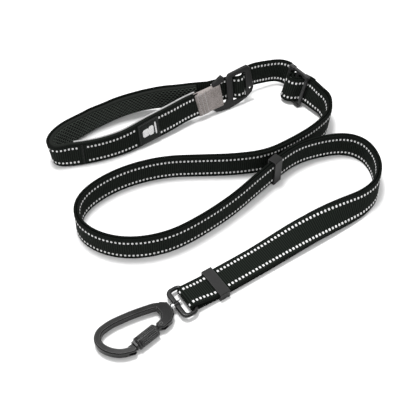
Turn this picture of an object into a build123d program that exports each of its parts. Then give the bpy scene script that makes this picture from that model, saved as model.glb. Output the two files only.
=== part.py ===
from build123d import *

import math
import os

# A training leash: a doubled, reflective webbing lead with a padded quick-release handle at one
# end and a twist-lock carabiner on a swivel at the other. Millimetres, +Z up, lying on Z = 0.
# The webbing stands on its edge, except near the carabiner, where it lies flat.

# ---- driving dimensions -------------------------------------------------------------------
WEB_WIDTH = 25.0            # width of the webbing
WEB_THICK = 2.2             # one ply
PLY_GAP = 0.5               # air between the two plies of the lead
PLY_OFFSET = (WEB_THICK + PLY_GAP) / 2
STACK = 2 * WEB_THICK + PLY_GAP

PLAN_CENTRE = (-16.83, -8.02)  # plan point that becomes the part's origin
FLOOR_GAP = 0.3             # how high the standing webbing's lower edge is held

HOOK_LIFT = 8.5             # lower edge of the webbing where the buckle holds it up
SLIDER_LIFT = 4.0           # and where the slider holds it up
KEEPER_LIFT = 1.8           # and where a keeper holds it up

HANDLE_FOAM = 3.2           # padding between the handle's webbing and its lining
HANDLE_LINING = 0.8         # mesh cloth on the side that meets the hand
FOAM_WIDTH = 22.4
LINING_WIDTH = 23.6
PIPING_WIDTH = 1.2
LABEL_FROM_END = 68.0       # from the label's middle to the end of the handle's webbing
LABEL_LENGTH = 22.0
LABEL_WIDTH = 22.6
LABEL_THICK = 0.6
TAB_HALF = 2.9              # half the tab's thickness

BUCKLE_THICK = 3.0
BUCKLE_FOOT = (19.2, 109.3, 1.6)
BUCKLE_HEADING = 29.0       # degrees from +X of the buckle's long side
BUCKLE_LEAN = 10.0          # degrees that its top leans back
BUCKLE_CHAMFER = 0.4

SLIDER_FOOT = (88.1, 127.3, 0.6)
SLIDER_HEADING = -50.7
SLIDER_LEAN = 16.0
SLIDER_BAR = 3.2            # width and thickness of each of its three bars
SLIDER_BARS_AT = (-10.6, -0.9, 11.3)
SLIDER_HEIGHT = 34.0
SLIDER_RAIL = 3.0           # width of the two sides that join the bars
KNOB_LENGTH = 6.0           # the thick ends of those sides
KNOB_PROUD = 1.2

LAST_RUN_ANGLE = 33.7       # heading of the straight run that ends at the swivel eye
KEEPER_LENGTH = 9.2         # along the webbing
KEEPER_WALL = 1.2
KEEPER_ROOM = 0.45          # clearance between a keeper and the webbing
NEAR_KEEPER = (12.7, -92.2)
NEAR_STACK_Z = 4.0          # middle of the two flat plies at the near keeper

EYE_BAR = 3.4               # the swivel eye's thickness, and the width of its strap bar
EYE_INSIDE = 24.4           # clear width inside the eye
EYE_SIDE = 3.2              # width of its short sides
EYE_CORNER = 6.0
EYE_HEAD = 4.4              # width of the long side that the swivel pin goes through
EYE_PITCH = 11.8            # between the middles of its two long sides
EYE_ROOM = 0.65             # between the strap bar and the webbing folded round it
EYE_WEB_WIDTH = 22.0        # the webbing narrows as it folds round the bar
EYE_BAR_AT = -26.0          # from the near keeper to the eye's strap bar, along the run
EYE_BAR_Z = 5.4
FOLD_RADIUS = EYE_BAR / 2 + EYE_ROOM + WEB_THICK / 2

SWIVEL_PIN_RADIUS = 1.6
SWIVEL_FIT = 0.06           # radial running clearance of the swivel pin
SWIVEL_HEAD_RADIUS = 2.7    # of the pin's head, and of the boss on the eye
SWIVEL_HEAD = 1.7           # length of that head
WASHER_RADIUS = 2.9
WASHER_THICK = 2.0
CLIP_REACH = 17.5           # from the strap bar to the carabiner's own origin

CLIP_THICK = 6.4            # carabiner body, across its flat sides
CLIP_WIDTH = 5.4            # width of its bar in plan
CLIP_ANGLE = 211.5          # heading of the carabiner's long axis, away from the swivel
CLIP_CHAMFER = 0.9
CLIP_BLEND = 1.2            # rounds the inner corners between the bar and the head
GATE_RADIUS = 2.9
GATE_PIVOT = (14.0, -10.0)  # in the carabiner's own plan
GATE_NOSE = (45.8, -16.6)
GATE_TONGUE = 2.9           # thickness of the hinge tongue, in a slot of HINGE_SLOT
HINGE_SLOT = 3.5
GATE_NOSE_THICK = 2.7       # thickness of the nose, in a slot of NOSE_SLOT
NOSE_SLOT = 3.3
PIVOT_RADIUS = 1.2          # the gate's pivot pin
GUIDE_RADIUS = 0.6          # the pin through the gate that the sleeve turns on
SPRING_RADIUS = 1.2         # the closing spring inside the gate
SLEEVE_OUTER = 5.3
SLEEVE_BORE = 3.6
SLEEVE_FROM = 5.4           # from the gate pivot, along the gate
SLEEVE_LENGTH = 19.6
SLEEVE_LINER = 5.0          # length of its bore that runs close on the gate
FLUTES = 20                 # grip grooves round the sleeve
FLUTE_RADIUS = 0.55
STOP_RADIUS = 4.1           # the stop block, with flats STOP_FLAT across
STOP_FLAT = 6.4

# ---- routes of the webbing's lower edge, in plan ------------------------------------------
# From the handle, behind the buckle, to the slider.
RUNNING_ROUTE = [(58.0, 144.6), (74.0, 151.6), (84.5, 147.0)]
# Its first stretch, as (along, behind) in the buckle's plan: behind both bars of the window.
HOOK_ROUTE = [(-6.0, 9.2), (5.0, 7.3), (13.5, 6.1), (17.4, 6.0), (21.0, 1.6), (27.8, 1.4),
              (31.9, 9.0), (42.0, 12.2)]
# Through the slider, as (along, across) in the slider's own plan: behind its first bar, out
# over its middle bar and back behind its last bar.
WEAVE_ROUTE = [(-16.0, -6.8), (-12.6, -4.9), (-7.0, -4.4), (-7.9, 7.4), (2.6, 6.2),
               (8.4, -4.4), (14.0, -4.3)]
# The sewn loop round the slider's middle bar, in the same plan, from its cut end.
LOOP_ROUTE = [(30.0, -7.0), (12.0, -7.0), (6.2, -6.3), (1.0, 3.4), (-4.9, 3.3), (-4.4, -3.9),
              (2.0, -4.5), (6.2, -9.65), (14.0, -9.7)]
# The doubled lead, along the middle between its plies, from the slider to the swivel eye.
LEAD_ROUTE = [(101.3, 120.0), (108.8, 111.6), (118.6, 101.6), (119.2, 84.0), (105.4, 67.8),
              (84.0, 51.2), (60.0, 36.0), (32.0, 31.0), (2.0, 29.8), (-32.0, 28.4),
              (-66.0, 17.0), (-92.3, -1.5), (-105.2, -21.6), (-102.0, -42.8), (-83.2, -57.9),
              (-56.2, -63.4), (-25.6, -56.6), (1.8, -38.8), (28.6, -16.0), (54.6, 11.0),
              (81.0, 39.2), (105.0, 51.8), (131.0, 57.6), (148.8, 50.2), (157.2, 32.5),
              (157.6, 13.0), (151.5, -7.5), (128.0, -30.3)]
# The padded handle, along the middle of its thickness, from the lead round to the grey tab.
HANDLE_ROUTE = [(-18.0, 110.4), (-37.0, 112.9), (-57.5, 110.8), (-79.0, 103.2), (-102.0, 87.8),
                (-121.5, 68.6), (-132.8, 54.5), (-132.0, 43.8), (-121.5, 41.6), (-104.0, 44.8),
                (-85.0, 51.0), (-66.5, 58.6), (-48.0, 70.2), (-28.0, 82.8), (-8.4, 98.7),
                (8.7, 108.3)]

FOLD_STEPS = 12             # sections round the eye's strap bar
TURN_PER_STATION = 14.0     # degrees between two sections of a bend
RUN_PER_STATION = 16.0      # and millimetres between two on a run


def unit(angle):
    a = math.radians(angle)
    return Vector(math.cos(a), math.sin(a), 0)


def leaning(heading, lean):
    """The direction of an edge that stands up and leans to the left of a heading."""
    left = unit(heading + 90)
    a = math.radians(lean)
    return left * math.sin(a) + Vector(0, 0, 1) * math.cos(a)


RUN_U = unit(LAST_RUN_ANGLE)                 # from the swivel eye towards the lead
RUN_W = unit(LAST_RUN_ANGLE - 90)            # across the flat webbing, to its near edge
NEAR_CENTRE = Vector(*NEAR_KEEPER, 0)


def on_last_run(along, across, z=0.0):
    return NEAR_CENTRE + RUN_U * along + RUN_W * across + Vector(0, 0, z)


def slider_plane():
    d, r = unit(SLIDER_HEADING), leaning(SLIDER_HEADING, SLIDER_LEAN)
    return Plane(origin=SLIDER_FOOT, x_dir=d, z_dir=d.cross(r))


def buckle_plane():
    d, r = unit(BUCKLE_HEADING), leaning(BUCKLE_HEADING, BUCKLE_LEAN)
    return Plane(origin=BUCKLE_FOOT, x_dir=d, z_dir=d.cross(r))


def in_buckle_plan(along, behind):
    """A point on the floor, from the buckle's own plan."""
    p = Vector(BUCKLE_FOOT[0], BUCKLE_FOOT[1], 0)
    p = p + unit(BUCKLE_HEADING) * along + unit(BUCKLE_HEADING + 90) * behind
    return (p.X, p.Y)


def in_slider_plan(along, across):
    """A point on the floor, from the slider's own plan."""
    d = unit(SLIDER_HEADING)
    across_way = unit(SLIDER_HEADING - 90)
    p = Vector(SLIDER_FOOT[0], SLIDER_FOOT[1], 0) + d * along + across_way * across
    return (p.X, p.Y)


# ---- ribbons ------------------------------------------------------------------------------
def rounded_path(points):
    """Straight runs joined by tangent arcs, each as large as its two runs allow."""
    radii = []
    for a, b, c in zip(points, points[1:], points[2:]):
        before = Vector(b[0] - a[0], b[1] - a[1])
        after = Vector(c[0] - b[0], c[1] - b[1])
        half_turn = math.radians(before.get_angle(after)) / 2
        radii.append(0.45 * min(before.length, after.length) / math.tan(half_turn))
    print("radii", [round(r, 1) for r in radii])
    return FilletPolyline(*points, radius=radii)


def stations(path, extra=()):
    """(distance, point, heading) down a path, close together where it bends."""
    total = path.length
    found = [0.0, *extra]
    at = 0.0
    for edge in path.edges().sort_by(path):
        turn = 0.0
        if edge.geom_type == GeomType.CIRCLE:
            turn = math.degrees(edge.length / edge.radius)
        steps = max(1, math.ceil(turn / TURN_PER_STATION), math.ceil(edge.length / RUN_PER_STATION))
        found += [at + edge.length * (k + 1) / steps for k in range(steps)]
        at += edge.length
    return [(s, path @ min(s / total, 1.0), path % min(s / total, 1.0)) for s in sorted(found)]


def between(pairs, s):
    """A value that eases from one (distance, value) pair to the next."""
    if s <= pairs[0][0]:
        return pairs[0][1]
    for (s0, v0), (s1, v1) in zip(pairs, pairs[1:]):
        if s <= s1:
            f = (s - s0) / (s1 - s0)
            f = f * f * (3 - 2 * f)
            return v0 + (v1 - v0) * f
    return pairs[-1][1]


def section(foot, heading, rib, aside, thick=WEB_THICK, width=WEB_WIDTH, start=0.0):
    """The four corners of a ribbon's section; aside is to the right of its heading."""
    right = heading.cross(rib).normalized()
    a, b = right * (aside - thick / 2), right * (aside + thick / 2)
    low, high = rib * start, rib * (start + width)
    return [foot + a + low, foot + b + low, foot + b + high, foot + a + high]


def ribbon(sections):
    wires = [Wire.make_polygon([Vector(*p) for p in corners], close=True) for corners in sections]
    return Solid.make_loft(wires, ruled=True)


def rib_at(heading, lean):
    """The webbing's edge-to-edge direction where it leans to the right of its heading."""
    right = heading.cross(Vector(0, 0, 1)).normalized()
    a = math.radians(lean)
    return Vector(0, 0, 1) * math.cos(a) + right * math.sin(a)


# ---- the doubled lead ---------------------------------------------------------------------
BAR_FOOT = on_last_run(EYE_BAR_AT, WEB_WIDTH / 2)
LEAD_PATH = rounded_path(LEAD_ROUTE + [(BAR_FOOT.X, BAR_FOOT.Y)])
LEAD_LENGTH = LEAD_PATH.length
BAR_S = LEAD_LENGTH
KEEPER_S = BAR_S + EYE_BAR_AT
LEAD_STATIONS = stations(LEAD_PATH, [KEEPER_S + step for step in (-6.5, 6.5, 10, 13, 19, 22, 24)])
FLAT_S = KEEPER_S - 34.0                      # the webbing lies flat from here to the eye
TWIST_S = BAR_S - 222.0                       # and starts to lean here


def nearest_distance(point):
    return min(LEAD_STATIONS, key=lambda st: (st[1] - Vector(*point, 0)).length)[0]


FAR_KEEPER_S = nearest_distance((68.0, 22.0))
TIP_S = nearest_distance((121.0, 92.0))
LEAN = [(0, -SLIDER_LEAN), (TIP_S * 0.5, -8.0), (TIP_S + 20, 0.0), (TWIST_S, 0.0), (FLAT_S, 90.0)]
LIFT = [(0, SLIDER_LIFT), (14, SLIDER_LIFT), (TIP_S, 1.0), (TIP_S + 40, FLOOR_GAP),
        (FAR_KEEPER_S - 60, FLOOR_GAP), (FAR_KEEPER_S - 22, KEEPER_LIFT),
        (FAR_KEEPER_S + 20, KEEPER_LIFT), (FAR_KEEPER_S + 60, FLOOR_GAP), (TWIST_S, FLOOR_GAP),
        (FLAT_S, NEAR_STACK_Z - STACK / 2)]
SPREAD = [(0, PLY_OFFSET), (KEEPER_S + 9.0, PLY_OFFSET), (BAR_S - 2.0, FOLD_RADIUS)]
ARCH = [(KEEPER_S + 7.0, 0.0), (BAR_S - 9.0, 3.6), (BAR_S - 1.0, 0.0)]
SEWN = [(0, WEB_THICK + PLY_GAP), (16, WEB_THICK + PLY_GAP), (34, 0.0)]
RISE = [(KEEPER_S + 8.0, 0.0), (BAR_S - 3.0, EYE_BAR_Z - NEAR_STACK_Z)]
NARROW = [(KEEPER_S + 8.0, WEB_WIDTH), (BAR_S - 3.0, EYE_WEB_WIDTH)]


def lead_sections(side):
    """Sections down the lead; side is +1 for the ply that runs on to the handle."""
    found = []
    for s, point, heading in LEAD_STATIONS:
        lean = between(LEAN, s)
        z = between(LIFT, s) + STACK / 2 * math.sin(math.radians(lean)) * (lean > 0)
        foot = Vector(point.X, point.Y, z + between(RISE, s))
        aside = side * between(SPREAD, s)
        if side < 0:
            aside -= between(SEWN, s) + between(ARCH, s)
        width = between(NARROW, s)
        found.append(section(foot, heading, rib_at(heading, lean), aside, WEB_THICK, width,
                             (WEB_WIDTH - width) / 2))
    return found


def plan_sections(points, rib_from, rib_to, lift_from, lift_to):
    """Sections down a plan route whose lean and height ease from one end to the other."""
    path = rounded_path(points)
    found = []
    for s, point, heading in stations(path):
        f = s / path.length
        rib = (rib_from * (1 - f) + rib_to * f).normalized()
        foot = Vector(point.X, point.Y, lift_from * (1 - f) + lift_to * f)
        found.append(section(foot, heading, rib, 0.0))
    return found


BUCKLE_RIB = leaning(BUCKLE_HEADING, BUCKLE_LEAN)
SLIDER_RIB = leaning(SLIDER_HEADING, SLIDER_LEAN)


def make_running_ply():
    """The ply that the buckle's window holds, woven through the slider and on down the lead."""
    weave = [in_slider_plan(*p) for p in WEAVE_ROUTE]
    hook = [in_buckle_plan(*p) for p in HOOK_ROUTE]
    path = rounded_path(hook + RUNNING_ROUTE + weave)
    near = stations(path)
    slider_s = near[-1][0] - 46.0
    found = []
    for s, point, heading in near:
        f = between([(40, 0.0), (slider_s, 1.0)], s)
        rib = (BUCKLE_RIB * (1 - f) + SLIDER_RIB * f).normalized()
        foot = Vector(point.X, point.Y, HOOK_LIFT * (1 - f) + SLIDER_LIFT * f)
        found.append(section(foot, heading, rib, 0.0))
    print("running ply length", round(path.length + LEAD_LENGTH, 1))
    return ribbon(found + lead_sections(+1)[1:])


def make_return_ply():
    """The ply sewn round the slider's middle bar, down the lead and round the eye's strap bar."""
    loop = plan_sections([in_slider_plan(*p) for p in LOOP_ROUTE], SLIDER_RIB, SLIDER_RIB,
                         SLIDER_LIFT, SLIDER_LIFT)
    fold = []
    for step in range(1, FOLD_STEPS + 1):
        a = math.radians(90 - 180 * step / FOLD_STEPS)
        centre = on_last_run(EYE_BAR_AT - FOLD_RADIUS * math.cos(a), EYE_WEB_WIDTH / 2,
                             EYE_BAR_Z + FOLD_RADIUS * math.sin(a))
        out = RUN_U * -math.cos(a) + Vector(0, 0, math.sin(a))
        inner, outer = centre - out * WEB_THICK / 2, centre + out * WEB_THICK / 2
        far = RUN_W * -EYE_WEB_WIDTH
        fold.append([outer, inner, inner + far, outer + far])
    return ribbon(loop + lead_sections(-1)[1:] + fold)


# ---- handle -------------------------------------------------------------------------------
HANDLE_STACK = WEB_THICK + HANDLE_FOAM + HANDLE_LINING
HANDLE_START = in_buckle_plan(HOOK_ROUTE[0][0] - 1.9, HOOK_ROUTE[0][1] - 2.0)
HANDLE_PATH = rounded_path([HANDLE_START] + HANDLE_ROUTE)
HANDLE_LENGTH = HANDLE_PATH.length
PAD_START = 10.0            # the padding starts behind the buckle
PAD_END = HANDLE_LENGTH - 18.2                # and stops short of the tab
PIPING_START = HANDLE_LENGTH - 140.0          # its piping runs along the nearer side only
HANDLE_LIFT = [(0, HOOK_LIFT), (120, 0.6), (HANDLE_LENGTH - 110, 0.6), (HANDLE_LENGTH - 18, 5.5)]
HANDLE_OUT = [(25, 0.0), (75, -6.0), (100, -4.0), (122, 1.0), (150, 9.0), (168, 7.0), (190, -5.0),
              (215, -3.0), (HANDLE_LENGTH - 45, -14.0)]
BUCKLE_HOLDS = [(0, 1.0), (60, 0.0), (HANDLE_LENGTH - 75, 0.0), (HANDLE_LENGTH - 18, 1.0)]
HANDLE_STATIONS = stations(HANDLE_PATH, [PAD_START, PIPING_START, PAD_END])


def handle_rib(s, heading):
    """Near upright along its length, and in line with the buckle at both ends."""
    held = between(BUCKLE_HOLDS, s)
    free = rib_at(heading, between(HANDLE_OUT, s))
    return (free * (1 - held) + BUCKLE_RIB * held).normalized()


def handle_layer(aside, thick, width=WEB_WIDTH, start=0.0, first=0.0, last=HANDLE_LENGTH):
    """One layer of the handle; aside is from the middle of its thickness, outwards."""
    found = []
    for s, point, heading in HANDLE_STATIONS:
        if first - 0.01 <= s <= last + 0.01:
            foot = Vector(point.X, point.Y, between(HANDLE_LIFT, s))
            found.append(section(foot, heading, handle_rib(s, heading), aside, thick, width, start))
    return ribbon(found)


FOAM_ASIDE = HANDLE_STACK / 2 - WEB_THICK - HANDLE_FOAM / 2


def make_handle_webbing():
    return handle_layer((HANDLE_STACK - WEB_THICK) / 2, WEB_THICK)


def make_handle_foam():
    return handle_layer(FOAM_ASIDE, HANDLE_FOAM, FOAM_WIDTH, (WEB_WIDTH - FOAM_WIDTH) / 2,
                        PAD_START, PAD_END)


def make_handle_lining():
    return handle_layer((HANDLE_LINING - HANDLE_STACK) / 2, HANDLE_LINING, LINING_WIDTH,
                        (WEB_WIDTH - LINING_WIDTH) / 2, PAD_START, PAD_END)


def make_handle_binding():
    """Piping along the padding's upper edge."""
    return handle_layer(FOAM_ASIDE, HANDLE_FOAM - 0.2, PIPING_WIDTH, WEB_WIDTH - 1.25,
                        PIPING_START, PAD_END)


def path_frame(path, distance):
    """The point and the heading at a distance down a path."""
    at = distance / path.length
    return path @ at, path % at


LABEL_ASIDE = (HANDLE_STACK + LABEL_THICK) / 2 + 0.15


def make_label_patch():
    """A blank woven label sewn on the outside of the handle."""
    found = []
    for step in (-0.5, 0.0, 0.5):
        distance = HANDLE_LENGTH - LABEL_FROM_END + LABEL_LENGTH * step
        point, heading = path_frame(HANDLE_PATH, distance)
        foot = Vector(point.X, point.Y, between(HANDLE_LIFT, distance))
        found.append(section(foot, heading, handle_rib(distance, heading), LABEL_ASIDE,
                             LABEL_THICK, LABEL_WIDTH, (WEB_WIDTH - LABEL_WIDTH) / 2))
    return ribbon(found)


# ---- quick-release tab and buckle ---------------------------------------------------------
def make_buckle():
    """A flat hook-shaped buckle: a frame with a window, and an open hook beside it."""
    plate = Polygon((-6.8, 4.9), (-3.6, 1.2), (2.0, 0.0), (10.5, -0.6), (21.0, 1.3), (30.5, 4.6),
                    (36.8, 9.4), (38.8, 14.0), (35.9, 37.2), (33.0, 40.2), (12.6, 37.6), (10.0, 33.6),
                    (10.0, 11.6), (8.0, 7.2), (4.8, 6.8), (3.2, 9.6), (1.3, 30.6), (6.4, 32.4),
                    (7.3, 36.6), (4.8, 39.4), (-5.1, 33.9), align=None)
    plate = fillet(plate.vertices(), 0.9)
    window = Polygon((15.9, 5.7), (30.6, 6.8), (30.6, 34.0), (15.9, 33.6), align=None)
    window = fillet(window.vertices(), 0.8)
    eyelet = Pos(35.2, 14.2) * Rot(0, 0, 8) * SlotOverall(4.4, 2.6, 90)
    body = extrude(plate - window - eyelet, BUCKLE_THICK)
    rims = body.faces().sort_by(Axis.Z)
    body = chamfer(rims[0].edges() + rims[-1].edges(), BUCKLE_CHAMFER)
    return buckle_plane() * Pos(0, 0, -BUCKLE_THICK) * body


TAB_CORNERS = [(-25.4, 29.4), (2.6, 31.2), (5.5, 5.7), (-21.1, 3.0)]


def tab_slab(outline, half):
    """A slab on the buckle's middle plane; half is half its thickness."""
    face = Polygon(*outline, align=None)
    return Pos(0, 0, -BUCKLE_THICK / 2) * extrude(face, half, both=True)


def make_tab_cover():
    """A folded cloth tab: it loops round the hook's bar and holds the webbing's end in it."""
    outside = tab_slab(TAB_CORNERS, TAB_HALF)
    long_edges = outside.edges().filter_by(lambda e: abs(e.tangent_at(0).Y) > 0.9)
    outside = fillet(long_edges, 1.7)
    room = BUCKLE_THICK / 2 + 0.3
    tunnel = tab_slab([(-7.8, 0.0), (4.6, 0.0), (1.2, 36.0), (-6.0, 36.0)], room)
    tunnel += tab_slab([(0.0, 0.0), (9.0, 0.0), (9.0, 8.2), (0.0, 8.2)], room)
    pocket_room = WEB_THICK / 2 + 0.4
    pocket = tab_slab([(-30.0, 0.0), (-9.2, 0.0), (-9.2, 36.0), (-30.0, 36.0)], pocket_room)
    return buckle_plane() * (outside - tunnel - pocket)


def make_tab_seam():
    """The raised fold that closes the tab beside its stitching."""
    outline = [(-14.2, 29.6), (-12.4, 29.7), (-9.8, 4.6), (-11.6, 4.5)]
    return buckle_plane() * Pos(0, 0, TAB_HALF + 0.35) * tab_slab(outline, 0.3)


# ---- slider -------------------------------------------------------------------------------
def make_slider():
    """A three-bar slider; its end blocks stand a little proud of its bars."""
    first, middle, last = SLIDER_BARS_AT
    outer = last - first + SLIDER_BAR
    mid_x = (first + last) / 2
    frame = Pos(mid_x, SLIDER_HEIGHT / 2) * RectangleRounded(outer, SLIDER_HEIGHT, 1.35)
    for left, right in ((first, middle), (middle, last)):
        gap = right - left - SLIDER_BAR
        slot = Rectangle(gap, SLIDER_HEIGHT - 2 * SLIDER_RAIL)
        frame -= Pos((left + right) / 2, SLIDER_HEIGHT / 2) * slot
    body = Pos(0, 0, -SLIDER_BAR / 2) * extrude(frame, SLIDER_BAR)
    body = chamfer(body.edges().filter_by(Plane.XY), 0.45)
    for x in (first + SLIDER_BAR / 2, last - SLIDER_BAR / 2):
        for y in (SLIDER_RAIL / 2, SLIDER_HEIGHT - SLIDER_RAIL / 2):
            knob = Box(KNOB_LENGTH, SLIDER_RAIL - 0.4, SLIDER_BAR + 2 * KNOB_PROUD)
            body += Pos(x, y, 0) * fillet(knob.edges().filter_by(Axis.Y), 1.3)
    return slider_plane() * body


# ---- keepers ------------------------------------------------------------------------------
def keeper(room_thick):
    """A folded metal loop round both plies, with its middle at the origin, open along X."""
    inside_w = WEB_WIDTH + 2 * KEEPER_ROOM
    inside_t = STACK + 2 * room_thick
    outside = Box(KEEPER_LENGTH, inside_t + 2 * KEEPER_WALL, inside_w + 2 * KEEPER_WALL)
    outside = fillet(outside.edges().filter_by(Axis.X), 0.7)
    outside -= Box(KEEPER_LENGTH + 2, inside_t, inside_w)
    return outside


def keeper_frame(distance):
    """A plane in the middle of the doubled lead: X along it, Z across its width."""
    point, heading = path_frame(LEAD_PATH, distance)
    lean = between(LEAN, distance)
    rib = rib_at(heading, lean)
    z = between(LIFT, distance) + STACK / 2 * math.sin(math.radians(lean)) * (lean > 0)
    centre = Vector(point.X, point.Y, z) + rib * WEB_WIDTH / 2
    return Plane(origin=centre, x_dir=heading, z_dir=rib)


def make_near_keeper():
    return keeper_frame(KEEPER_S) * keeper(0.35)


def make_far_keeper():
    return keeper_frame(FAR_KEEPER_S) * keeper(0.8)


# ---- swivel -------------------------------------------------------------------------------
def eye_plane():
    """X from the strap bar towards the carabiner, Y across, Z up."""
    return Plane(origin=on_last_run(EYE_BAR_AT, 0, EYE_BAR_Z), x_dir=RUN_U * -1, z_dir=(0, 0, 1))


def rod(x0, x1, radius):
    """A round bar along X."""
    return Pos((x0 + x1) / 2, 0, 0) * Rot(0, 90, 0) * Cylinder(radius, x1 - x0)


EYE_FACE = EYE_PITCH + EYE_HEAD / 2          # from the strap bar to the eye's outer face


def make_swivel_eye():
    """A rounded ring with a strap bar at one end and a wide, bored side at the other."""
    half_in = EYE_INSIDE / 2
    outline = Pos((EYE_FACE - EYE_BAR / 2) / 2, 0) * RectangleRounded(
        EYE_FACE + EYE_BAR / 2, EYE_INSIDE + 2 * EYE_SIDE, EYE_CORNER)
    inner_to = EYE_PITCH - EYE_HEAD / 2
    gap = Pos((EYE_BAR / 2 + inner_to) / 2, 0) * RectangleRounded(
        inner_to - EYE_BAR / 2, 2 * half_in, 2.4)
    body = extrude(outline - gap, EYE_BAR / 2, both=True)
    body = fillet(body.edges().filter_by(Plane.XY), 1.35)
    boss = rod(inner_to - 0.1, EYE_FACE + 0.1, SWIVEL_HEAD_RADIUS)
    bore = rod(inner_to - 2.0, EYE_FACE + 2.0, SWIVEL_PIN_RADIUS + SWIVEL_FIT)
    return eye_plane() * (body + boss - bore)


def make_swivel_pin():
    """The headed pin that the carabiner turns on; its head is inside the eye."""
    head_at = EYE_PITCH - EYE_HEAD / 2 - 0.25
    shank = rod(head_at - 0.5, CLIP_REACH + 5.0, SWIVEL_PIN_RADIUS)
    return eye_plane() * (shank + rod(head_at - SWIVEL_HEAD, head_at, SWIVEL_HEAD_RADIUS))


def make_swivel_washer():
    """A bright spacer between the eye and the carabiner."""
    washer_at = EYE_FACE + 0.35
    ring = rod(washer_at, washer_at + WASHER_THICK, WASHER_RADIUS)
    return eye_plane() * (ring - rod(0, 30, SWIVEL_PIN_RADIUS + 0.12))


# ---- carabiner ----------------------------------------------------------------------------
def clip_plane():
    """The carabiner's own plan: X down its length, away from the swivel, Y towards its spine."""
    top = on_last_run(EYE_BAR_AT - CLIP_REACH, 0, EYE_BAR_Z)
    return Plane(origin=top, x_dir=unit(CLIP_ANGLE), z_dir=(0, 0, -1))


SPINE_LINE = [(3.0, 3.2), (10.0, 7.4), (29.0, 10.6), (47.4, 11.6), (58.4, 9.4), (63.4, 3.6),
              (63.2, -3.4), (59.2, -10.4), (52.2, -16.2), (43.2, -18.4)]
HEAD_OUTLINE = [(0.2, 5.2), (5.0, 8.4), (10.6, 6.6), (9.4, -1.6), (12.2, -6.0), (17.4, -7.6),
                (18.2, -12.0), (12.6, -13.9), (5.4, -12.0), (0.6, -7.4), (-0.6, -2.0)]


def make_clip_body():
    """One forged loop, open where the gate closes it, with flats along its sides."""
    bar = make_face(offset(rounded_path(SPINE_LINE), CLIP_WIDTH / 2).edges())
    head = Polygon(*HEAD_OUTLINE, align=None)
    flat = bar + fillet(head.vertices(), 1.0)
    flat = offset(offset(flat, CLIP_BLEND), -CLIP_BLEND)
    body = extrude(flat, CLIP_THICK / 2, both=True)
    rims = body.faces().sort_by(Axis.Z)
    return chamfer(rims[0].edges() + rims[-1].edges(), CLIP_CHAMFER)


def gate_heading():
    return Vector(GATE_NOSE[0] - GATE_PIVOT[0], GATE_NOSE[1] - GATE_PIVOT[1])


def gate_frame():
    """In the carabiner's plan: X down the gate from its pivot, Z as the carabiner's."""
    h = gate_heading()
    return Plane(origin=(*GATE_PIVOT, 0), x_dir=(h.X, h.Y, 0), z_dir=(0, 0, 1))


GATE_LENGTH = gate_heading().length


SLEEVE_TO = SLEEVE_FROM + SLEEVE_LENGTH
GUIDE_PIN_AT = SLEEVE_FROM + SLEEVE_LENGTH / 2


def in_clip(shape):
    return clip_plane() * shape


def in_gate(shape):
    return clip_plane() * (gate_frame() * shape)


def finish_clip_body():
    """The forged body with its gate slot, pin bores, latch slot and swivel bore."""
    body = make_clip_body()
    px, py = GATE_PIVOT
    hinge = gate_frame() * (Pos(0.6, 0, 0) * Box(10.0, 14.0, HINGE_SLOT))
    hinge += Pos(px + 2.0, py + 7.0, 0) * Box(6.0, 9.0, HINGE_SLOT)
    bore = Pos(px, py, 0) * Cylinder(PIVOT_RADIUS, 2 * CLIP_THICK)
    nose = gate_frame() * (Pos(GATE_LENGTH - 1.0, 0, 0) * Box(7.4, 16.0, NOSE_SLOT))
    swing = gate_frame() * rod(5.0, GATE_LENGTH - 4.2, GATE_RADIUS + 1.5)
    return in_clip(body - hinge - bore - nose - swing) - make_swivel_pin()


def make_gate():
    """A round gate with a flat hinge tongue at one end and a flat nose at the other."""
    body = rod(5.6, GATE_LENGTH - 5.6, GATE_RADIUS)
    body += Pos(2.6, 0, 0) * Box(8.2, 4.6, GATE_TONGUE)
    body += Cylinder(2.3, GATE_TONGUE)
    body += Pos(GATE_LENGTH - 3.6, 0, 0) * Box(6.0, 5.0, GATE_NOSE_THICK)
    pivot_bore = Cylinder(PIVOT_RADIUS, 10)
    spring_bore = rod(6.8, 12.6, SPRING_RADIUS + 0.15)
    guide_bore = Pos(GUIDE_PIN_AT, 0, 0) * Cylinder(GUIDE_RADIUS, 20)
    return in_gate(body - pivot_bore - spring_bore - guide_bore)


def make_gate_pin():
    return in_gate(Cylinder(PIVOT_RADIUS, CLIP_THICK - 0.2))


def make_gate_spring():
    """The closing spring, drawn as the tube it fills inside the gate."""
    return in_gate(rod(7.0, 12.4, SPRING_RADIUS) - rod(6.9, 12.5, SPRING_RADIUS - 0.5))


def make_gate_block():
    """The black stop between the sleeve and the gate's nose."""
    block = rod(SLEEVE_TO + 0.6, GATE_LENGTH - 5.2, STOP_RADIUS)
    block &= Box(4 * GATE_LENGTH, 2 * STOP_RADIUS, STOP_FLAT)
    return in_gate(block - rod(0, GATE_LENGTH, GATE_RADIUS))


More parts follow.
